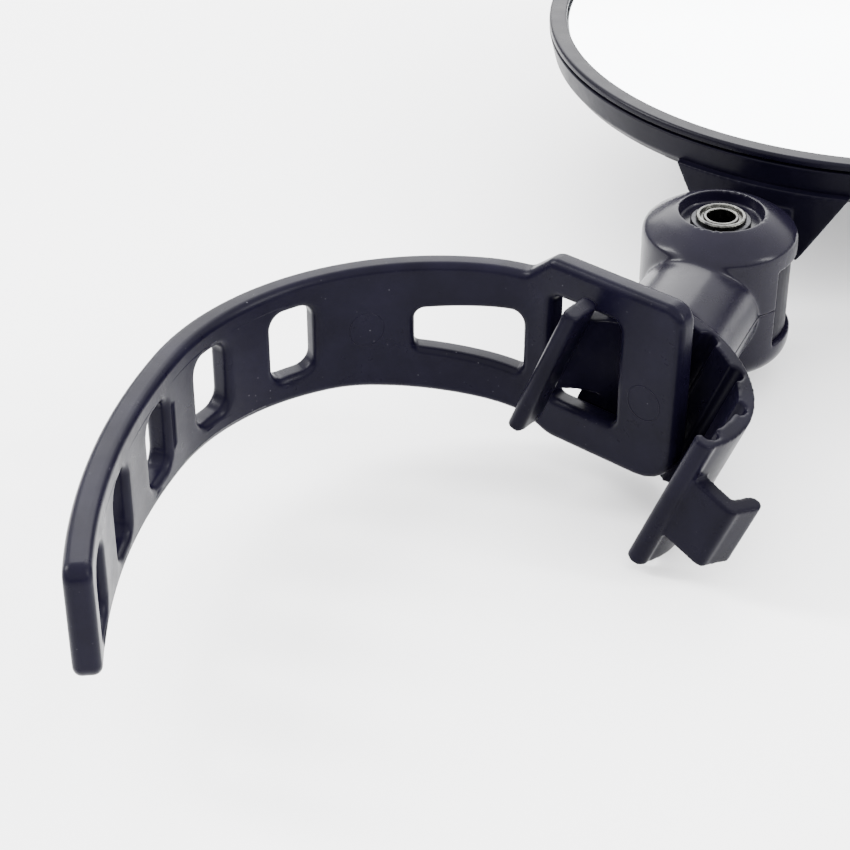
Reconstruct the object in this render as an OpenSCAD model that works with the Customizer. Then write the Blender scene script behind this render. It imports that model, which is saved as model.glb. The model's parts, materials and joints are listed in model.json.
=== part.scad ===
// Strap-on handlebar mirror: saddle clamp, rubber strap, swivel knuckle and round mirror head.
// Millimetres, +Z up. The origin is where the arm's axis meets the handlebar's axis.
// The arm runs along +Y from the saddle to the knuckle, whose rivet stands upright.

/* [Saddle clamp] */
// Radius of the handlebar that the saddle sits on
bar_r = 11.1; // [10.9:0.1:11.3]
// Reach of the saddle along the handlebar above the arm's axis
saddle_up = 10.5; // [10:0.5:11]
// Reach of the saddle along the handlebar below the arm's axis
saddle_down = 9.5; // [9:0.5:11]
// Thickness of the saddle's wall
saddle_wall = 2.1; // [1.8:0.1:2.3]
// Lean of the handlebar's axis from the vertical, in degrees
bar_lean = 21; // [20:1:23]
// Width of the J-shaped hook
hook_w = 9.2; // [9:0.1:11]

/* [Strap] */
// Height of the strap's wide plate end
plate_w = 25; // [24:0.5:26]
// Height of the strap beyond the plate
strap_w = 16; // [15.5:0.1:17]
// Thickness of the strap
strap_t = 3.1; // [2.6:0.1:3.2]
// Distance between the adjustment holes
hole_pitch = 13.7; // [12:0.1:14]

/* [Knuckle] */
// Distance from the handlebar's axis to the rivet
knuckle_y = 37.6; // [37:0.1:40]
// Radius of the knuckle
knuckle_r = 10; // [9.9:0.1:10.5]
// Height of the knuckle above its seam
knuckle_up_h = 10.5; // [10.4:0.1:11]
// Depth of the knuckle below its seam
knuckle_down_h = 9.7; // [9.6:0.1:10.2]
// Radius of the knuckle's arm
arm_r = 7.8; // [7.4:0.1:8]

/* [Mirror head] */
// Distance from the rivet to the centre of the glass
head_y = 61.2; // [61:0.1:64]
// Radius of the bezel and of the housing's rim
rim_r = 47.8; // [47.4:0.1:47.8]
// Turn of the mirror head about the rivet at rest, in degrees
head_turn = -3; // [-10:1:10]
// Radius of curvature of the convex glass
glass_curve_r = 420; // [350:10:600]

/* [Hidden] */
$fn = 96;
running = 0.05;

// Saddle: angles are measured from its back towards its hook side
saddle_r = bar_r + saddle_wall;
saddle_mid_r = bar_r + saddle_wall / 2;
hook_end = 124;
back_start = -8;
relief_angle = -15;
upper_relief = 8;
lower_relief = 9.1;
tbar_start = -60;
tbar_end = -66;
tbar_tip = [-10.6, 0.9];
tbar_back = [-9.9, 4.3];
tbar_down = 8.2;
hook_lift = 0.5;
neck_up = 6.6;
neck_down = 4.8;
grip_angles = [21, 51, 82, 118];
boss_y = 16.5;
spigot_r = 4.5;
spigot_end_y = 27;
flange_r = 6.2;
flange_y = 23.5;
flange_len = 3;

// Strap: the run of its centre line in plan, from the plate's end inside the saddle to the tip.
// Headings are in degrees from -X towards -Y.
strap_start = [6.8, 4.5];
plate_heading = -16;
plate_run = 19;
bend_r = 18;
bend_angle = 31;
curve_r = 33;
curve_angle = 80;
tail_r = 90;
tail_angle = 26;
plate_top = 15.5;
upper_corner_r = 2.5;
lower_corner_r = 5.5;
strap_top = 12.5;
window_run = 13.8;
slot_start = 23;
slot_len = 14.4;
first_hole_run = 53.7;
hole_w = 6.2;
hole_h = 9.2;
taper_start_y = -8;
tip_rise = 2.4;
bend_run = plate_run + bend_r * bend_angle * PI / 180;
curve_run = bend_run + curve_r * curve_angle * PI / 180;
tail_run = curve_run + tail_r * tail_angle * PI / 180;

// Knuckle
fillet_r = 3;
dome_r = 16;
recess_r = 5.45;
upper_recess_z = knuckle_up_h - 1.8;
lower_recess_z = -knuckle_down_h + 2.5;
barrel_r = 9.4;
barrel_half_h = 5.35;
window_half_h = barrel_half_h + 0.1;
window_edge = 68;
arm_front_y = boss_y + 0.3;
rivet_r = 2.35;
rivet_bore_r = 1.85;
washer_t = 0.6;
spring_t = 0.7;
o_ring_t = 0.8;
o_ring_r = spigot_r + 0.1 + o_ring_t;

// Mirror head
rim_top_z = 12.9;
bezel_z = 11.9;
rim_z = 11.5;
rim_bottom_z = 7.4;
floor_z = 7;
back_z = 5.2;
glass_r = 45.8;
lip_r = 45.2;
glass_t = 1.8;
glass_edge_z = 11.95;
pad_r = 32;
pad_top_z = 11.3;
neck_half_w = 6.3;
neck_far_half_w = 12.2;
neck_depth = 5.6;
neck_bottom_z = -2.2;

// ---- Helpers ----

// Point at radius r and angle a from the saddle's back
function around_bar(r, a) = [r * sin(a), r * cos(a)];

// Flat wedge with its point on the axis, from angle a1 to angle a2
module wedge(r, a1, a2) {
    polygon(concat([[0, 0]], [for (i = [0:12]) around_bar(r, a1 + (a2 - a1) * i / 12)]));
}

// Flat bar of thickness t with round ends, from p to q
module flat_bar(p, q, t) {
    d = q - p;
    translate(p) circle(d = t);
    translate(q) circle(d = t);
    translate(p)
        rotate(atan2(d.y, d.x))
            translate([0, -t / 2])
                square([norm(d), t]);
}

// Rectangle w by h with rounded corners, centred
module rounded_rect(w, h, r) {
    square([w - 2 * r, h], center = true);
    square([w, h - 2 * r], center = true);
    for (x = [-1, 1], y = [-1, 1])
        translate([x * (w / 2 - r), y * (h / 2 - r)])
            circle(r = r, $fn = 32);
}

// Cylinder along +Y, from y1 to y2
module y_rod(r, y1, y2) {
    translate([0, y1, 0])
        rotate([-90, 0, 0])
            cylinder(r = r, h = y2 - y1);
}

module to_bar() rotate([0, bar_lean, 0]) children();
module to_knuckle() translate([0, knuckle_y, 0]) children();
module to_head() to_knuckle() rotate(head_turn) children();
module to_glass() to_head() translate([0, head_y, 0]) children();

// ---- Saddle clamp ----

// The C-shaped wall with its grip grooves
module saddle_outline() {
    difference() {
        union() {
            intersection() {
                circle(saddle_r);
                wedge(2 * saddle_r, tbar_end, hook_end);
            }
            translate(around_bar(saddle_mid_r, hook_end)) circle(saddle_wall * 0.62);
        }
        circle(bar_r);
        for (a = grip_angles)
            translate(around_bar(bar_r + 0.1, a))
                circle(1.15, $fn = 32);
    }
}

// The hook that a strap hole is pulled over
module hook_outline() {
    root = around_bar(saddle_mid_r, 120);
    bend = [16.3, -7.9];
    tip = [18.2, -5.2];
    flat_bar(root, bend, 2.2);
    flat_bar(bend, tip, 2);
}

// Saddle-long extrusion of a flat outline
module saddle_long() {
    translate([0, 0, -saddle_down])
        linear_extrude(height = saddle_up + saddle_down) children();
}

// Cuts the wall away above and below the T-bar's neck, and leaves its back flat behind the strap
module neck_cuts() {
    cut_len = 2 * saddle_up;
    for (cut = [[-1, neck_down, lower_relief], [1, neck_up, upper_relief]])
        translate([0, 0, cut[0] * (cut[1] + cut_len / 2)])
            linear_extrude(height = cut_len, center = true)
                intersection() {
                    wedge(2 * saddle_r, tbar_start - 30, back_start);
                    rotate(relief_angle)
                        translate([-2 * saddle_r, cut[2] - 3 * saddle_r])
                            square([4 * saddle_r, 3 * saddle_r]);
                }
}

module saddle_clamp() {
    color([0.09, 0.09, 0.11])
        union() {
            to_bar() {
                difference() {
                    saddle_long() saddle_outline();
                    neck_cuts();
                }
                translate([0, 0, -tbar_down])
                    linear_extrude(height = saddle_up + tbar_down)
                        flat_bar(tbar_tip, tbar_back, saddle_wall);
                translate([0, 0, hook_lift])
                    linear_extrude(height = hook_w, center = true)
                        difference() {
                            hook_outline();
                            circle(bar_r + 0.3);
                        }
            }
            difference() {
                y_rod(arm_r + 0.3, 8, boss_y);
                to_bar() {
                    cylinder(r = saddle_mid_r, h = 6 * saddle_up, center = true);
                    neck_cuts();
                }
            }
            y_rod(spigot_r, boss_y - 2, spigot_end_y);
            y_rod(flange_r, flange_y, flange_y + flange_len);
        }
}

// ---- Strap ----

// Point reached from p along an arc of radius r that turns the heading from h1 to h2
function arc_point(p, r, h1, h2) =
    [p.x - r * (sin(h2) - sin(h1)), p.y - r * (cos(h1) - cos(h2))];

plate_end = strap_start - plate_run * [cos(plate_heading), sin(plate_heading)];
curve_heading = plate_heading + bend_angle;
tail_heading = curve_heading + curve_angle;
bend_end = arc_point(plate_end, bend_r, plate_heading, curve_heading);
curve_end = arc_point(bend_end, curve_r, curve_heading, tail_heading);

// Heading of the centre line at distance s from the plate's end
function strap_heading(s) =
    s < plate_run ? plate_heading
    : s < bend_run ? plate_heading + (s - plate_run) / bend_r * 180 / PI
    : s < curve_run ? curve_heading + (s - bend_run) / curve_r * 180 / PI
    : tail_heading + (s - curve_run) / tail_r * 180 / PI;

// Point of the centre line at distance s from the plate's end
function strap_point(s) =
    s < plate_run ? strap_start - s * [cos(plate_heading), sin(plate_heading)]
    : s < bend_run ? arc_point(plate_end, bend_r, plate_heading, strap_heading(s))
    : s < curve_run ? arc_point(bend_end, curve_r, curve_heading, strap_heading(s))
    : arc_point(curve_end, tail_r, tail_heading, strap_heading(s));

// Point at distance n from the centre line, positive towards the strap's inside
function strap_side(s, n) =
    strap_point(s) + n * [sin(strap_heading(s)), -cos(strap_heading(s))];

function strap_stations() =
    concat([0, plate_run], [for (s = [plate_run + 2:2:tail_run - 1]) s], [tail_run]);

// The strap seen from above
module strap_plan() {
    stations = strap_stations();
    last = len(stations) - 1;
    polygon(concat(
        [for (s = stations) strap_side(s, strap_t / 2)],
        [for (i = [last:-1:0]) strap_side(stations[i], -strap_t / 2)]));
}

// The strap's height along X: tall plate, then a taper to the strap's own height
module strap_elevation() {
    far = -80;
    plate_bottom = plate_top - plate_w;
    strap_bottom = strap_top - strap_w;
    end_x = strap_side(0, -strap_t / 2).x;
    polygon([
        [end_x, plate_bottom + lower_corner_r], [end_x, plate_top - upper_corner_r],
        [end_x - upper_corner_r, plate_top], [-11.5, plate_top], [-15, strap_top], [far, strap_top],
        [far, strap_bottom], [-36, strap_bottom - 0.4], [-15, strap_bottom - 4.2],
        [-11.5, plate_bottom], [end_x - lower_corner_r, plate_bottom]]);
    translate([end_x - lower_corner_r, plate_bottom + lower_corner_r]) circle(lower_corner_r);
    translate([end_x - upper_corner_r, plate_top - upper_corner_r]) circle(upper_corner_r);
}

// Cut through the strap at distance s, with the outline given as children in run and height
module through_strap(s, z) {
    p = strap_point(s);
    translate([p.x, p.y, z])
        rotate(strap_heading(s))
            rotate([90, 0, 0])
                linear_extrude(height = 4 * strap_t, center = true)
                    children();
}

// What the taper towards the tip takes off the strap's lower edge
module tip_taper() {
    strap_bottom = strap_top - strap_w;
    rotate([90, 0, 90])
        linear_extrude(height = 200, center = true)
            polygon([[taper_start_y, strap_bottom], [taper_start_y - 60, strap_bottom + tip_rise],
                [taper_start_y - 60, strap_bottom - 10], [taper_start_y, strap_bottom - 10]]);
}

module strap() {
    color([0.11, 0.11, 0.13])
        difference() {
            intersection() {
                translate([0, 0, plate_top - plate_w])
                    linear_extrude(height = plate_w) strap_plan();
                rotate([90, 0, 0])
                    linear_extrude(height = 200, center = true) strap_elevation();
            }
            tip_taper();
            through_strap(window_run, 3.4) rounded_rect(10, 14.5, 1);
            through_strap(slot_start + slot_len / 2, 0)
                polygon([[slot_len / 2, -1.8], [slot_len / 2, 5.6], [slot_len / 2 - 1.2, 6.8],
                    [-slot_len / 2 + 1, 6.1], [-slot_len / 2, 5.1], [-slot_len / 2, 1.4],
                    [-slot_len / 2 + 0.7, 0.7]]);
            for (i = [0:4])
                through_strap(first_hole_run + i * hole_pitch, strap_top - strap_w / 2)
                    rounded_rect(hole_w, hole_h, 1.8);
        }
}

// ---- Knuckle ----

// Lower half of the knuckle's round body, with a rounded edge
module knuckle_bottom() {
    rotate_extrude() {
        translate([0, -knuckle_down_h]) square([knuckle_r - fillet_r, knuckle_down_h]);
        translate([0, fillet_r - knuckle_down_h]) square([knuckle_r, knuckle_down_h - fillet_r]);
        translate([knuckle_r - fillet_r, fillet_r - knuckle_down_h])
            intersection() {
                circle(fillet_r);
                mirror([0, 1]) square(fillet_r);
            }
    }
}

// Upper half, with a shallow dome
module knuckle_top() {
    rotate_extrude()
        intersection() {
            translate([0, knuckle_up_h - sqrt(pow(dome_r, 2) - pow(recess_r, 2))]) circle(dome_r);
            square([knuckle_r, 2 * knuckle_up_h]);
        }
}

// Both shells as one body, before they are split along the seam
module knuckle_body() {
    difference() {
        union() {
            to_knuckle() {
                knuckle_top();
                knuckle_bottom();
            }
            y_rod(arm_r, arm_front_y, knuckle_y);
        }
        to_knuckle() {
            cylinder(r = rivet_r + running, h = 3 * knuckle_up_h, center = true);
            translate([0, 0, upper_recess_z]) cylinder(r = recess_r, h = knuckle_up_h);
            translate([0, 0, lower_recess_z - knuckle_up_h])
                cylinder(r = recess_r, h = knuckle_up_h);
            cylinder(r = barrel_r + 0.1, h = 2 * window_half_h, center = true);
            linear_extrude(height = 2 * window_half_h, center = true)
                wedge(2 * knuckle_r, -180 + window_edge, 180 - window_edge);
        }
        y_rod(spigot_r + running, 0, spigot_end_y + 0.1);
        y_rod(flange_r + running, flange_y - 0.1, flange_y + flange_len + 0.1);
        y_rod(o_ring_r + o_ring_t, 0, arm_front_y + 2 * o_ring_t);
    }
}

module knuckle_upper_shell() {
    color([0.16, 0.15, 0.19])
        intersection() {
            knuckle_body();
            translate([-50, 0, 0]) cube([100, 100, 50]);
        }
}

module knuckle_lower_shell() {
    color([0.16, 0.15, 0.19])
        intersection() {
            knuckle_body();
            translate([-50, 0, -50]) cube([100, 100, 50]);
        }
}

// Rubber ring between the arm and the saddle's boss, which keeps the swivel from rattling
module swivel_o_ring() {
    color([0.05, 0.05, 0.05])
        translate([0, arm_front_y + o_ring_t, 0])
            rotate([-90, 0, 0])
                rotate_extrude()
                    translate([o_ring_r, 0]) circle(o_ring_t - 0.05, $fn = 32);
}

// ---- Rivet and its washers ----

module flat_washer(r, z) {
    to_knuckle()
        translate([0, 0, z])
            difference() {
                cylinder(r = r, h = washer_t);
                translate([0, 0, -1]) cylinder(r = rivet_r + running, h = washer_t + 2);
            }
}

module upper_rivet_washer() {
    color([0.75, 0.75, 0.76]) flat_washer(3.9, upper_recess_z);
}

module lower_rivet_washer() {
    color([0.75, 0.75, 0.76]) flat_washer(4.4, lower_recess_z - spring_t - washer_t);
}

// Dished spring washer that presses the shells on to the barrel
module spring_washer() {
    color([0.62, 0.62, 0.64])
        to_knuckle()
            translate([0, 0, lower_recess_z])
                rotate_extrude()
                    polygon([[2.6, -spring_t], [2.6, -spring_t + 0.35], [4.6, 0], [4.6, -0.35]]);
}

// Section of one rolled rivet end, standing on a washer at height z
module rivet_roll(z, side) {
    roll_r = 0.3;
    translate([rivet_bore_r, side > 0 ? z : z - 2 * roll_r])
        square([1.1, 2 * roll_r]);
    translate([rivet_bore_r + 1.1, z + side * roll_r])
        circle(roll_r, $fn = 32);
}

module tubular_rivet() {
    top = upper_recess_z + washer_t;
    bottom = lower_recess_z - spring_t - washer_t;
    color([0.7, 0.7, 0.72])
        to_knuckle()
            rotate_extrude() {
                translate([rivet_bore_r, bottom]) square([rivet_r - rivet_bore_r, top - bottom]);
                rivet_roll(top, 1);
                rivet_roll(bottom, -1);
            }
}

// ---- Mirror head ----

// Tapered web under the rim, flush with it in front
module head_neck() {
    front_y = head_y - rim_r;
    far_y = front_y + neck_depth;
    intersection() {
        rotate([90, 0, 90])
            linear_extrude(height = 4 * neck_far_half_w, center = true)
                polygon([[front_y, rim_bottom_z + 0.4], [front_y, neck_bottom_z],
                    [front_y + 0.6, neck_bottom_z], [far_y, back_z + 0.9],
                    [far_y, rim_bottom_z + 0.4]]);
        rotate([90, 0, 0])
            linear_extrude(height = 4 * head_y, center = true)
                polygon([[-neck_half_w, neck_bottom_z], [neck_half_w, neck_bottom_z],
                    [neck_far_half_w, rim_bottom_z + 0.4],
                    [-neck_far_half_w, rim_bottom_z + 0.4]]);
        translate([0, head_y, 0]) cylinder(r = rim_r, h = 100, center = true, $fn = 180);
    }
}

// Section of the shallow back shell
module housing_section() {
    polygon([[0, back_z], [42, back_z + 0.7], [rim_r - 2, rim_bottom_z - 0.9],
        [rim_r - 1, rim_bottom_z + 0.4], [rim_r, rim_z], [rim_r - 0.8, rim_z],
        [rim_r - 1.6, floor_z + 0.8], [rim_r - 2.4, floor_z], [0, floor_z]]);
}

module mirror_housing() {
    color([0.12, 0.12, 0.14])
        union() {
            to_glass() rotate_extrude($fn = 180) housing_section();
            to_head() {
                head_neck();
                difference() {
                    union() {
                        cylinder(r = barrel_r, h = 2 * barrel_half_h, center = true);
                        translate([-5, 5, -barrel_half_h + 0.05])
                            cube([10, head_y - rim_r - 4, 2 * barrel_half_h - 0.1]);
                    }
                    cylinder(r = rivet_r + 0.07, h = 4 * barrel_half_h, center = true);
                }
            }
        }
}

// Ring over the edge of the glass, with a skirt inside the housing's rim
module bezel_ring() {
    color([0.1, 0.1, 0.12])
        to_glass()
            rotate_extrude($fn = 180)
                polygon([[lip_r, glass_edge_z + 0.1], [lip_r, rim_top_z - 0.4],
                    [lip_r + 0.4, rim_top_z], [rim_r - 0.6, rim_top_z], [rim_r, rim_top_z - 0.6],
                    [rim_r, bezel_z], [rim_r - 0.9, bezel_z], [rim_r - 1.5, rim_z - 2.5],
                    [glass_r + 0.1, rim_z - 2.5], [glass_r + 0.1, glass_edge_z + 0.1]]);
}

// Height of the glass's centre of curvature
glass_centre_z = glass_edge_z - sqrt(pow(glass_curve_r, 2) - pow(glass_r, 2));

module mirror_glass() {
    color([0.86, 0.89, 0.92])
        to_glass()
            intersection() {
                cylinder(r = glass_r, h = 3 * glass_edge_z);
                translate([0, 0, glass_centre_z])
                    difference() {
                        sphere(glass_curve_r, $fn = 360);
                        sphere(glass_curve_r - glass_t, $fn = 360);
                    }
            }
}

// Sticky foam disc that holds the glass to the housing's floor
module foam_pad() {
    color([0.85, 0.85, 0.82])
        to_glass()
            translate([0, 0, floor_z]) cylinder(r = pad_r, h = pad_top_z - floor_z);
}

saddle_clamp();
strap();
knuckle_upper_shell();
knuckle_lower_shell();
swivel_o_ring();
tubular_rivet();
upper_rivet_washer();
spring_washer();
lower_rivet_washer();
mirror_housing();
bezel_ring();
mirror_glass();
foam_pad();
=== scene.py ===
"""Looks for the strap-on handlebar mirror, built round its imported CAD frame.

Lengths in the shape functions are millimetres and become metres when a mesh is made.
"""
import json
import math

import bmesh
import bpy
from mathutils import Matrix, Vector
from mathutils.geometry import tessellate_polygon


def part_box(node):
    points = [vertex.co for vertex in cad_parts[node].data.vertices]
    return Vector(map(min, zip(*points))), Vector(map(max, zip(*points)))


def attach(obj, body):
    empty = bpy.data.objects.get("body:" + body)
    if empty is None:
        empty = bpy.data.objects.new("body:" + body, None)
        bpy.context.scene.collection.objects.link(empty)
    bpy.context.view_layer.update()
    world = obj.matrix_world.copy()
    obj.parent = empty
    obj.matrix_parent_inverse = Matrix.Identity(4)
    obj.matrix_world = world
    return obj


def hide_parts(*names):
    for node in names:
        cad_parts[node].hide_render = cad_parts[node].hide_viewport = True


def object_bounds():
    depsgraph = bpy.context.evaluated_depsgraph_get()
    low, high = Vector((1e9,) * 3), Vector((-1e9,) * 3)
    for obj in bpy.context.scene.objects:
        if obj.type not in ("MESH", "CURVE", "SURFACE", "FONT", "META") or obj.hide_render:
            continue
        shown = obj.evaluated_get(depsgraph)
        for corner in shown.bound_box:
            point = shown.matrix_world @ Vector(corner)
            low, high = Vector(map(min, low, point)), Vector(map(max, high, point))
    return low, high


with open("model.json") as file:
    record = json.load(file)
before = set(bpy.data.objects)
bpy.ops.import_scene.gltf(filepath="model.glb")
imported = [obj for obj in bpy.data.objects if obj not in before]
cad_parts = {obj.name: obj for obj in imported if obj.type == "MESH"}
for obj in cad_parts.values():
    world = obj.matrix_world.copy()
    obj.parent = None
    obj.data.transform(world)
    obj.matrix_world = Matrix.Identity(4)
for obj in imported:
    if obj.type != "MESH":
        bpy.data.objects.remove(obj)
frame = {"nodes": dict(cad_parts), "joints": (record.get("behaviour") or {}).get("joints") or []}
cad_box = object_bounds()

MM = 0.001
scene = bpy.context.scene
joints = {joint["name"]: joint for joint in frame["joints"]}


# ---- Camera ----

def add_camera():
    """The viewing angle: from above the handlebar's side, 34 degrees down."""
    data = bpy.data.cameras.new("camera")
    data.sensor_width = 36
    data.lens = 93.2
    data.clip_start = 0.01
    camera = bpy.data.objects.new("camera", data)
    scene.collection.objects.link(camera)
    camera.location = Vector((68.9, -204.3, 143.9)) * MM
    camera.rotation_euler = (math.radians(90 - 33.79), 0, math.radians(24.56))
    scene.camera = camera


add_camera()


# ---- Material nodes ----

def new_material(name):
    material = bpy.data.materials.new(name)
    material.use_nodes = True
    shader = material.node_tree.nodes["Principled BSDF"]
    return material, material.node_tree, shader


def noise(tree, coordinates, scale, detail=3.0, roughness=0.5):
    node = tree.nodes.new("ShaderNodeTexNoise")
    node.inputs["Scale"].default_value = scale
    node.inputs["Detail"].default_value = detail
    node.inputs["Roughness"].default_value = roughness
    tree.links.new(coordinates, node.inputs["Vector"])
    return node.outputs["Fac"]


def object_coordinates(tree):
    return tree.nodes.new("ShaderNodeTexCoord").outputs["Object"]


def ramp(tree, value, low, high, low_at=0.35, high_at=0.65):
    """Colour that goes from low to high as value goes from low_at to high_at."""
    node = tree.nodes.new("ShaderNodeValToRGB")
    node.color_ramp.elements[0].position = low_at
    node.color_ramp.elements[0].color = (*low, 1)
    node.color_ramp.elements[1].position = high_at
    node.color_ramp.elements[1].color = (*high, 1)
    tree.links.new(value, node.inputs["Fac"])
    return node.outputs["Color"]


def map_range(tree, value, low, high, from_low=0.3, from_high=0.7):
    node = tree.nodes.new("ShaderNodeMapRange")
    node.inputs["From Min"].default_value = from_low
    node.inputs["From Max"].default_value = from_high
    node.inputs["To Min"].default_value = low
    node.inputs["To Max"].default_value = high
    tree.links.new(value, node.inputs["Value"])
    return node.outputs["Result"]


def bump(tree, height, strength, distance, below=None):
    node = tree.nodes.new("ShaderNodeBump")
    node.inputs["Strength"].default_value = strength
    node.inputs["Distance"].default_value = distance
    tree.links.new(height, node.inputs["Height"])
    if below is not None:
        tree.links.new(below, node.inputs["Normal"])
    return node.outputs["Normal"]


def specks(tree, coordinates, scale, threshold):
    """1 in sparse round spots, such as dust and pinholes, and 0 elsewhere."""
    cells = tree.nodes.new("ShaderNodeTexVoronoi")
    cells.inputs["Scale"].default_value = scale
    tree.links.new(coordinates, cells.inputs["Vector"])
    return map_range(tree, cells.outputs["Distance"], 1, 0, threshold * 0.6, threshold)


# ---- Materials ----

def moulded(name, dark, light, rough, grain, grain_depth, gloss=1.28, dust=0.0, coat=0.0):
    """Injection-moulded plastic or rubber: fine grain, flow marks and a little dust."""
    material, tree, shader = new_material(name)
    at = object_coordinates(tree)
    flow = noise(tree, at, 120, 4, 0.6)
    colour = ramp(tree, flow, dark, light)
    if dust > 0:
        spots = specks(tree, at, 900, 0.10)
        patches = map_range(tree, noise(tree, at, 230, 2), 0, dust, 0.5, 0.75)
        amount = tree.nodes.new("ShaderNodeMath")
        amount.operation = "MULTIPLY"
        tree.links.new(spots, amount.inputs[0])
        tree.links.new(patches, amount.inputs[1])
        mix = tree.nodes.new("ShaderNodeMixRGB")
        mix.inputs["Color2"].default_value = (0.42, 0.41, 0.45, 1)
        tree.links.new(amount.outputs["Value"], mix.inputs["Fac"])
        tree.links.new(colour, mix.inputs["Color1"])
        colour = mix.outputs["Color"]
    tree.links.new(colour, shader.inputs["Base Color"])
    worn = noise(tree, at, 300, 5, 0.65)
    tree.links.new(map_range(tree, worn, rough * 0.85, rough * 1.2), shader.inputs["Roughness"])
    fine = bump(tree, noise(tree, at, grain, 3, 0.6), 0.5, grain_depth)
    broad = bump(tree, noise(tree, at, 160, 2), 0.35, 0.00012, below=fine)
    tree.links.new(broad, shader.inputs["Normal"])
    shader.inputs["IOR"].default_value = gloss
    shader.inputs["Coat Weight"].default_value = coat
    shader.inputs["Coat IOR"].default_value = 1.3
    shader.inputs["Coat Roughness"].default_value = 0.1
    return material


def metal(name, dark, light, rough, turning):
    """Rolled steel: turning marks round the part's axis and a mottled bright plate."""
    material, tree, shader = new_material(name)
    at = object_coordinates(tree)
    mottled = noise(tree, at, 1400, 5, 0.7)
    tree.links.new(ramp(tree, mottled, dark, light, 0.3, 0.7), shader.inputs["Base Color"])
    tree.links.new(map_range(tree, mottled, rough * 0.7, rough * 1.4), shader.inputs["Roughness"])
    marks = bump(tree, noise(tree, at, turning, 6, 0.75), 0.8, 0.00006)
    tree.links.new(marks, shader.inputs["Normal"])
    shader.inputs["Metallic"].default_value = 1
    return material


def silvered_glass(name):
    """A bright silver film under clear glass, with faint wiping marks."""
    material, tree, shader = new_material(name)
    at = object_coordinates(tree)
    film = noise(tree, at, 25, 2)
    colour = ramp(tree, film, (0.90, 0.94, 0.965), (0.93, 0.955, 0.975))
    tree.links.new(colour, shader.inputs["Base Color"])
    smears = noise(tree, at, 90, 6, 0.7)
    tree.links.new(map_range(tree, smears, 0.012, 0.05), shader.inputs["Roughness"])
    shader.inputs["Metallic"].default_value = 1
    shader.inputs["Coat Weight"].default_value = 0.6
    shader.inputs["Coat Roughness"].default_value = 0.02
    return material


def foam(name):
    """Pale closed-cell foam."""
    material, tree, shader = new_material(name)
    at = object_coordinates(tree)
    cells = tree.nodes.new("ShaderNodeTexVoronoi")
    cells.inputs["Scale"].default_value = 1100
    tree.links.new(at, cells.inputs["Vector"])
    tint = ramp(tree, cells.outputs["Distance"], (0.66, 0.65, 0.61), (0.82, 0.81, 0.77), 0.1, 0.6)
    tree.links.new(tint, shader.inputs["Base Color"])
    pores = bump(tree, cells.outputs["Distance"], 0.8, 0.0002)
    tree.links.new(pores, shader.inputs["Normal"])
    shader.inputs["Roughness"].default_value = 0.9
    return material


def paper(name):
    """The pale seamless floor."""
    material, tree, shader = new_material(name)
    at = object_coordinates(tree)
    tint = ramp(tree, noise(tree, at, 3, 2), (0.93, 0.93, 0.94), (0.95, 0.95, 0.955))
    tree.links.new(tint, shader.inputs["Base Color"])
    shader.inputs["Roughness"].default_value = 0.95
    return material


SADDLE = moulded("saddle_plastic", (0.0016, 0.0013, 0.0040), (0.0030, 0.0025, 0.0066), 0.30,
                 5200, 0.00002, gloss=1.12, dust=0.05)
STRAP = moulded("strap_rubber", (0.0020, 0.0016, 0.0054), (0.0036, 0.0030, 0.0086), 0.30, 6500,
                0.00002, gloss=1.14, dust=0.12)
KNUCKLE = moulded("knuckle_plastic", (0.0026, 0.0020, 0.0060), (0.0042, 0.0034, 0.0086), 0.25,
                  4200, 0.000004, gloss=1.19, coat=0.06)
HOUSING = moulded("housing_plastic", (0.0014, 0.0012, 0.0036), (0.0026, 0.0022, 0.0056), 0.34,
                  4600, 0.00001, gloss=1.13)
BEZEL = moulded("bezel_plastic", (0.0014, 0.0012, 0.0036), (0.0026, 0.0022, 0.0056), 0.28, 4600,
                0.000008, gloss=1.15)
RING_RUBBER = moulded("ring_rubber", (0.010, 0.010, 0.011), (0.016, 0.016, 0.017), 0.7, 7000,
                      0.00002)
RIVET = metal("rivet_steel", (0.004, 0.004, 0.005), (0.11, 0.11, 0.10), 0.22, 2600)
WASHER = metal("washer_steel", (0.006, 0.006, 0.008), (0.03, 0.03, 0.034), 0.34, 3000)
SPRING = metal("spring_steel", (0.36, 0.36, 0.38), (0.50, 0.50, 0.52), 0.36, 3000)
SILVER = silvered_glass("silvered_glass")
FOAM = foam("pad_foam")


# ---- Mesh helpers ----

def add_mesh(name, mesh, material):
    piece = bpy.data.objects.new(name, mesh)
    scene.collection.objects.link(piece)
    piece.data.materials.clear()
    piece.data.materials.append(material)
    for polygon in piece.data.polygons:
        polygon.use_smooth = True
    return piece


def from_bmesh(name, shape, material):
    """Turns a bmesh in millimetres into a piece in metres."""
    bmesh.ops.recalc_face_normals(shape, faces=shape.faces)
    mesh = bpy.data.meshes.new(name)
    shape.to_mesh(mesh)
    shape.free()
    mesh.transform(Matrix.Scale(MM, 4))
    return add_mesh(name, mesh, material)


def even_normals(piece):
    """Keeps large faces flat-looking next to small rounded edges."""
    modifier = piece.modifiers.new("even_normals", "WEIGHTED_NORMAL")
    modifier.weight = 80
    return piece


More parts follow.
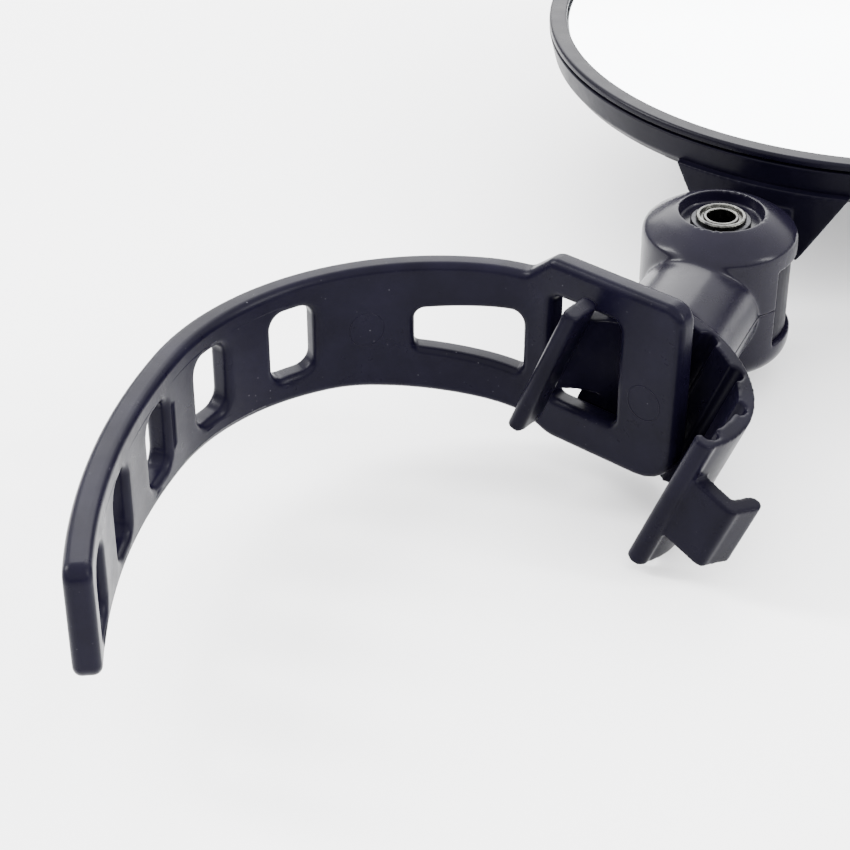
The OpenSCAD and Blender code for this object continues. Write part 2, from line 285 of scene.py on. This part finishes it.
def filleted(points, steps=6):
    """Closed outline from (x, y, corner radius) points, with its corners made into arcs."""
    outline = []
    count = len(points)
    for i, (x, y, radius) in enumerate(points):
        corner = Vector((x, y))
        if radius == 0:
            outline.append(corner)
            continue
        before = (Vector(points[i - 1][:2]) - corner).normalized()
        after = (Vector(points[(i + 1) % count][:2]) - corner).normalized()
        half = before.angle(after) / 2
        centre = corner + (before + after).normalized() * (radius / math.sin(half))
        first = corner + before * (radius / math.tan(half)) - centre
        last = corner + after * (radius / math.tan(half)) - centre
        sweep = first.angle_signed(last)
        for k in range(steps + 1):
            outline.append(centre + Matrix.Rotation(-sweep * k / steps, 2) @ first)
    return outline


def lathe(name, profile, centre, material, steps=240, corner_steps=6):
    """Turns a closed (radius, height, corner radius) profile round the vertical line at centre."""
    outline = filleted(profile, corner_steps)
    shape = bmesh.new()
    rings = []
    for k in range(steps):
        turn = 2 * math.pi * k / steps
        rings.append([shape.verts.new((centre.x + p.x * math.cos(turn),
                                       centre.y + p.x * math.sin(turn), p.y)) for p in outline])
    count = len(outline)
    for k, ring in enumerate(rings):
        following = rings[(k + 1) % steps]
        for i in range(count):
            j = (i + 1) % count
            if outline[i].x < 1e-6 and outline[j].x < 1e-6:
                continue
            shape.faces.new((ring[i], ring[j], following[j], following[i]))
    bmesh.ops.remove_doubles(shape, verts=shape.verts, dist=1e-5)
    return even_normals(from_bmesh(name, shape, material))


def offset(loop, distance):
    """Moves a closed loop to its left by distance."""
    moved = []
    for i, point in enumerate(loop):
        before = (point - loop[i - 1]).normalized()
        after = (loop[(i + 1) % len(loop)] - point).normalized()
        normal = Vector((-before.y - after.y, before.x + after.x)).normalized()
        stretch = normal.dot(Vector((-after.y, after.x)))
        moved.append(point + normal * (distance / max(stretch, 0.3)))
    return moved


def clean(loop):
    """Drops points that lie on the one before."""
    return [p for i, p in enumerate(loop) if (p - loop[i - 1]).length > 1e-4]


def anticlockwise(loop):
    area = sum(a.x * b.y - b.x * a.y for a, b in zip(loop, loop[1:] + loop[:1]))
    return loop if area > 0 else loop[::-1]


def slab(outline, holes, thickness, edge_r, edge_steps=4):
    """Flat slab in (x, y) with holes through it and every edge rounded; its depth is z."""
    loops = [anticlockwise(clean(outline))] + [anticlockwise(clean(h))[::-1] for h in holes]
    half = thickness / 2
    quarter = [math.radians(90) * k / edge_steps for k in range(edge_steps + 1)]
    upper = [(edge_r * (1 - math.cos(a)), half - edge_r + edge_r * math.sin(a)) for a in quarter]
    layers = [(inset, -z) for inset, z in reversed(upper)] + upper
    shape = bmesh.new()
    ends = {0: [], len(layers) - 1: []}
    for loop in loops:
        rings = []
        for inset, z in layers:
            rings.append([shape.verts.new((p.x, p.y, z)) for p in offset(loop, inset)])
        for low, high in zip(rings, rings[1:]):
            for i in range(len(loop)):
                j = (i + 1) % len(loop)
                shape.faces.new((low[i], low[j], high[j], high[i]))
        for end in ends:
            ends[end].append(rings[end])
    for rings in ends.values():
        corners = [v for ring in rings for v in ring]
        for triangle in tessellate_polygon([[v.co.copy() for v in ring] for ring in rings]):
            shape.faces.new([corners[i] for i in triangle])
    return shape


def applied(piece):
    """Bakes a piece's modifiers into its mesh."""
    graph = bpy.context.evaluated_depsgraph_get()
    mesh = bpy.data.meshes.new_from_object(piece.evaluated_get(graph))
    piece.modifiers.clear()
    piece.data = mesh
    for polygon in mesh.polygons:
        polygon.use_smooth = True
    return piece


def moulded_copy(name, node, voxel, passes, material):
    """A CAD node's shape with the rounded edges that a mould gives it."""
    piece = add_mesh(name, frame["nodes"][node].data.copy(), material)
    return soften(piece, voxel, passes)


def soften(piece, voxel, passes):
    voxels = piece.modifiers.new("voxels", "REMESH")
    voxels.mode = "VOXEL"
    voxels.voxel_size = voxel * MM
    smooth = piece.modifiers.new("smooth", "SMOOTH")
    smooth.factor = 0.5
    smooth.iterations = passes
    return applied(piece)


# ---- Strap ----

STRAP_T = 3.1
STRAP_START = Vector((6.8, 4.5))
PLATE_HEADING = -16
PLATE_RUN = 19
ARCS = [(18, 31), (33, 80), (90, 26)]
STRAP_BENDS = [radius * math.radians(turn) for radius, turn in ARCS]
STRAP_END = PLATE_RUN + sum(STRAP_BENDS)
PLATE_TOP = 15.5
PLATE_BOTTOM = -9.5
STRAP_TOP = 12.5
HOLE_RUNS = [53.7 + 13.7 * k for k in range(5)]
HOLE_Z = 4.5


def direction(heading):
    return Vector((-math.cos(math.radians(heading)), -math.sin(math.radians(heading))))


def inward(heading):
    return Vector((math.sin(math.radians(heading)), -math.cos(math.radians(heading))))


def strap_place(run, depth):
    """Point in plan at distance run from the plate's end, depth towards the strap's inside."""
    point = STRAP_START + direction(PLATE_HEADING) * min(run, PLATE_RUN)
    heading = PLATE_HEADING
    left = run - PLATE_RUN
    for (radius, turn), length in zip(ARCS, STRAP_BENDS):
        if left <= 0:
            break
        centre = point + inward(heading) * radius
        heading += turn * min(left / length, 1)
        point = centre - inward(heading) * radius
        left -= length
    return point + inward(heading) * depth


def rounded_window(run, z, width, height, radius):
    w, h = width / 2, height / 2
    return filleted([(run - w, z - h, radius), (run + w, z - h, radius),
                     (run + w, z + h, radius), (run - w, z + h, radius)])


def strap_shape():
    outline = filleted([
        (0, PLATE_BOTTOM, 5.5), (19, PLATE_BOTTOM, 5), (23, -7.6, 5), (46, -4, 50), (58, -3.5, 60),
        (STRAP_END, -1.5, 1.8), (STRAP_END, STRAP_TOP, 1.8), (22.8, STRAP_TOP, 2),
        (19.2, PLATE_TOP, 2), (0, PLATE_TOP, 2.5)])
    slot = filleted([(23.1, -1.7, 1), (23.1, 6.8, 1.7), (37.3, 6.1, 1.4), (37.3, 0.8, 1)])
    holes = [rounded_window(13.8, 3.4, 10, 14.5, 1.2), slot]
    holes += [rounded_window(run, HOLE_Z, 6.2, 9.2, 1.9) for run in HOLE_RUNS]
    shape = slab(outline, holes, STRAP_T, 1.0, 6)
    step = 1.0
    cuts = int((STRAP_END - PLATE_RUN) / step)
    for k in range(cuts + 1):
        bmesh.ops.bisect_plane(shape, geom=shape.verts[:] + shape.edges[:] + shape.faces[:],
                               plane_co=(PLATE_RUN + k * step, 0, 0), plane_no=(1, 0, 0))
    for vertex in shape.verts:
        run, z, depth = vertex.co
        place = strap_place(run, depth)
        vertex.co = (place.x, place.y, z)
    return shape


def ejector_mark(name, run, z, radius, material):
    """The thin raised ring that a mould's ejector pin leaves on the strap's inner face."""
    shape = bmesh.new()
    tube, around, across = 0.07, 48, 8
    rings = []
    for k in range(around):
        turn = 2 * math.pi * k / around
        ring = []
        for i in range(across):
            angle = 2 * math.pi * i / across
            r = radius + tube * math.cos(angle)
            place = strap_place(run + r * math.cos(turn),
                                STRAP_T / 2 - 0.03 + tube * math.sin(angle))
            ring.append(shape.verts.new((place.x, place.y, z + r * math.sin(turn))))
        rings.append(ring)
    for k, ring in enumerate(rings):
        following = rings[(k + 1) % around]
        for i in range(across):
            j = (i + 1) % across
            shape.faces.new((ring[i], ring[j], following[j], following[i]))
    return from_bmesh(name, shape, material)


def build_strap():
    strap = even_normals(from_bmesh("strap_moulding", strap_shape(), STRAP))
    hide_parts("strap")
    marks = [ejector_mark("strap_mark_middle", 43.6, 4.1, 2.3, STRAP),
             ejector_mark("strap_mark_plate", 4.6, 1.4, 2.3, STRAP)]
    for piece in [strap] + marks:
        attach(piece, "strap")


# ---- Saddle ----

def build_saddle():
    saddle = moulded_copy("saddle_moulding", "saddle_clamp", 0.2, 9, SADDLE)
    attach(saddle, "saddle")
    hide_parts("saddle_clamp")


# ---- Knuckle ----

def round_ends(shell):
    """Rounds the knuckle's outer edges more than the rest of it."""
    axis = Vector(joints["head_turn"]["pos_m"])
    group = shell.vertex_groups.new(name="ends")
    for vertex in shell.data.vertices:
        out = (vertex.co - axis) / MM
        near_side = min(max((out.xy.length - 7.4) / 0.8, 0), 1)
        near_end = min(max((abs(out.z) - 6.2) / 0.8, 0), 1)
        if near_side * near_end > 0:
            group.add([vertex.index], near_side * near_end, "REPLACE")
    smooth = shell.modifiers.new("smooth", "SMOOTH")
    smooth.factor = 0.5
    smooth.iterations = 60
    smooth.vertex_group = "ends"
    applied(shell)
    shell.vertex_groups.clear()


def build_knuckle():
    for side in ("upper", "lower"):
        node = f"knuckle_{side}_shell"
        shell = moulded_copy(f"knuckle_{side}_moulding", node, 0.18, 9, KNUCKLE)
        round_ends(shell)
        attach(shell, "knuckle")
        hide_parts(node)


def build_rivet():
    axis = Vector(joints["head_turn"]["pos_m"]) / MM
    low, high = (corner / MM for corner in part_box("tubular_rivet"))
    bore, wall, roll = 1.85, 2.35, (high.x - low.x) / 2
    profile = [(bore, low.z, 0.2), (bore, high.z - 0.2, 0.12), (wall - 0.15, high.z - 0.2, 0.12),
               (wall - 0.05, high.z - 0.5, 0.05), (wall + 0.25, high.z - 0.5, 0.05),
               (wall + 0.4, high.z, 0.15), (roll, high.z, 0.28), (roll, high.z - 0.6, 0.15),
               (wall, high.z - 0.6, 0), (wall, low.z + 0.6, 0), (roll, low.z + 0.6, 0.2),
               (roll, low.z, 0.25)]
    rivet = lathe("rivet_rolled", profile, axis, RIVET, 120)
    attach(rivet, "knuckle")
    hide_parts("tubular_rivet")
    for node in ("upper_rivet_washer", "lower_rivet_washer"):
        low, high = (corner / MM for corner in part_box(node))
        radius = (high.x - low.x) / 2
        profile = [(2.4, low.z, 0.1), (2.4, high.z, 0.1), (radius, high.z, 0.18),
                   (radius, low.z, 0.1)]
        washer = lathe(node + "_pressed", profile, axis, WASHER, 120)
        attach(washer, "knuckle")
        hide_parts(node)


# ---- Mirror head ----

def head_centre():
    low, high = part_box("bezel_ring")
    return (low + high) / (2 * MM)


def head_radius():
    low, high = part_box("bezel_ring")
    return (high.x - low.x) / (2 * MM)


def build_housing():
    centre, rim = head_centre(), head_radius()
    profile = [(0, 5.2, 0), (42, 5.9, 30), (rim - 2.2, 6.4, 1.2), (rim - 0.9, 7.9, 1.5),
               (rim, 11.5, 0.2), (rim - 0.8, 11.5, 0.15), (rim - 1.6, 7.8, 0.4),
               (rim - 2.4, 7, 0.3), (0, 7, 0)]
    dish = lathe("housing_dish", profile, centre, HOUSING)
    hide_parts("mirror_housing")
    neck = housing_neck(rim)
    for piece in (dish, neck):
        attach(piece, "mirror_head")


def housing_neck(rim):
    """The barrel and the tapered web that join the dish to the rivet."""
    pivot = Vector(joints["head_turn"]["pos_m"])
    towards = Vector((*(head_centre().xy * MM - pivot.xy), 0))
    reach = towards.length - rim * MM + 0.008
    towards.normalize()
    box = bmesh.new()
    bmesh.ops.create_cube(box, size=1)
    length = reach + 0.0115
    size = Matrix.Diagonal((0.030, length, 0.0135, 1))
    turn = towards.to_track_quat("Y", "Z").to_matrix().to_4x4()
    middle = pivot + towards * (reach - length / 2) + Vector((0, 0, 0.00125))
    box.transform(Matrix.Translation(middle) @ turn @ size)
    mesh = bpy.data.meshes.new("neck_box")
    box.to_mesh(mesh)
    box.free()
    cutter = bpy.data.objects.new("neck_box", mesh)
    scene.collection.objects.link(cutter)
    neck = add_mesh("housing_neck", frame["nodes"]["mirror_housing"].data.copy(), HOUSING)
    weld = neck.modifiers.new("weld", "WELD")
    weld.merge_threshold = 0.000002
    cut = neck.modifiers.new("cut", "BOOLEAN")
    cut.operation = "INTERSECT"
    cut.solver = "EXACT"
    cut.object = cutter
    applied(neck)
    bpy.data.objects.remove(cutter)
    return soften(neck, 0.2, 6)


def build_bezel():
    centre, rim = head_centre(), head_radius()
    lip = rim - 2.6
    profile = [(lip, 11.97, 0), (lip, 12.9, 0.35), (rim, 12.9, 0.5), (rim, 11.9, 0.2),
               (rim - 0.9, 11.9, 0.1), (rim - 1.5, 9, 0.1), (rim - 1.9, 9, 0.1),
               (rim - 1.9, 11.97, 0)]
    bezel = lathe("bezel_moulding", profile, centre, BEZEL)
    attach(bezel, "mirror_head")
    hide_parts("bezel_ring")


def build_glass():
    """Convex glass: a spherical front with a ground edge."""
    centre, radius, curve = head_centre(), head_radius() - 2, 420
    edge_z, thick, steps = 11.95, 1.8, 40
    sink = edge_z - math.sqrt(curve ** 2 - radius ** 2)
    front = [radius * (1 - k / steps) for k in range(steps + 1)]
    top = [(r, sink + math.sqrt(curve ** 2 - r ** 2), 0) for r in front]
    back = [(r, z - thick, 0) for r, z, _ in reversed(top)]
    glass = lathe("glass_silvered", top + back, centre, SILVER)
    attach(glass, "mirror_head")
    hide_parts("mirror_glass")


def build_pad():
    low, high = (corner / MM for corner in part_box("foam_pad"))
    radius = (high.x - low.x) / 2
    profile = [(0, low.z, 0), (radius, low.z, 0.4), (radius, high.z, 0.6), (0, high.z, 0)]
    pad = lathe("foam_disc", profile, head_centre(), FOAM, 120)
    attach(pad, "mirror_head")
    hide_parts("foam_pad")


build_strap()
build_saddle()
build_knuckle()
build_rivet()
build_housing()
build_bezel()
build_glass()
build_pad()

for node, material in (("swivel_o_ring", RING_RUBBER), ("spring_washer", SPRING)):
    frame["nodes"][node].data.materials.clear()
    frame["nodes"][node].data.materials.append(material)


# ---- Stage ----

def add_floor():
    shape = bmesh.new()
    bmesh.ops.create_grid(shape, x_segments=4, y_segments=4, size=4)
    mesh = bpy.data.meshes.new("floor")
    shape.to_mesh(mesh)
    shape.free()
    floor = add_mesh("floor", mesh, paper("floor_paper"))
    floor.location.z = cad_box[0].z - 0.0002


def add_light(name, position, size, power, target=(0.0, 0.05, 0.0)):
    data = bpy.data.lights.new(name, "AREA")
    data.shape = "RECTANGLE"
    data.size, data.size_y = size
    data.energy = power
    light = bpy.data.objects.new(name, data)
    scene.collection.objects.link(light)
    light.location = position
    light.rotation_euler = (Vector(target) - Vector(position)).to_track_quat("-Z", "Y").to_euler()


def add_world():
    """A bright soft ceiling that darkens towards the horizon."""
    world = bpy.data.worlds.new("studio")
    scene.world = world
    world.use_nodes = True
    tree = world.node_tree
    split = tree.nodes.new("ShaderNodeSeparateXYZ")
    tree.links.new(tree.nodes.new("ShaderNodeTexCoord").outputs["Generated"],
                   split.inputs["Vector"])
    sky = ramp(tree, split.outputs["Z"], (HORIZON,) * 3, (1, 1, 1), 0.08, 0.42)
    background = tree.nodes["Background"]
    tree.links.new(sky, background.inputs["Color"])
    background.inputs["Strength"].default_value = CEILING


HORIZON = 0.05
CEILING = 4.2
add_floor()
add_world()
add_light("back_box", (-0.35, 0.85, 0.57), (1.0, 0.8), 18)
add_light("left_box", (-0.6, -0.1, 0.45), (0.15, 0.4), 9)
add_light("right_box", (0.6, 0.1, 0.35), (0.1, 0.4), 5)
